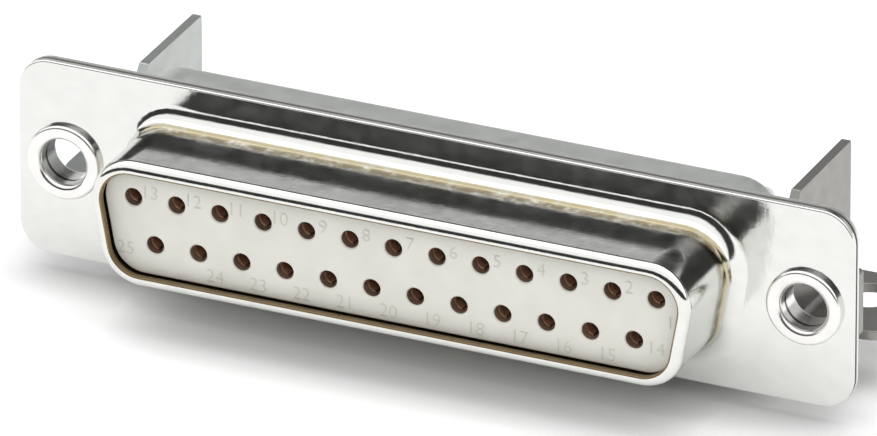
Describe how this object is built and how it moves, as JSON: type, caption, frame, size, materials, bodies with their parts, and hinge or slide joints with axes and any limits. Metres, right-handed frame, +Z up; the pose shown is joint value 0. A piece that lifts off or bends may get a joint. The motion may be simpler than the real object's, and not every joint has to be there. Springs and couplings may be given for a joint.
{
  "type": "d-sub connector",
  "caption": "Right-angle board socket of the D-sub family: a D-shaped metal shell round two rows of contacts, riveted to angle brackets for a circuit board.",
  "frame": {"origin": "midway between the two screw holes, on the flange's front face", "axes": "+X to the right as seen from the plug, -Y out of the mating face towards the plug, +Z up from the board"},
  "size_m": [0.053, 0.0188, 0.0135],
  "materials": {
    "front_shell": "bright tin plate",
    "rear_shell": "satin tin plate",
    "insulator": "satin moulded white",
    "insulator_rear": "satin moulded white",
    "rivet": "bright tin plate",
    "bracket": "dull tin plate",
    "contact": "plated and worn to a brown gold"
  },
  "bodies": {
    "root": {"front_shell": "front_shell", "rear_shell": "rear_shell", "front_insulator": "insulator", "rear_insulator": "insulator_rear", "tail_spacer": "insulator_rear", "rivet_left": "rivet", "rivet_right": "rivet", "bracket_left": "bracket", "bracket_right": "bracket", "contact_1": "contact", "contact_2": "contact", "contact_3": "contact", "contact_4": "contact", "contact_5": "contact", "contact_6": "contact", "contact_7": "contact", "contact_8": "contact", "contact_9": "contact", "contact_10": "contact", "contact_11": "contact", "contact_12": "contact", "contact_13": "contact", "contact_14": "contact", "contact_15": "contact", "contact_16": "contact", "contact_17": "contact", "contact_18": "contact", "contact_19": "contact", "contact_20": "contact", "contact_21": "contact", "contact_22": "contact", "contact_23": "contact", "contact_24": "contact", "contact_25": "contact"}
  },
  "joints": []
}
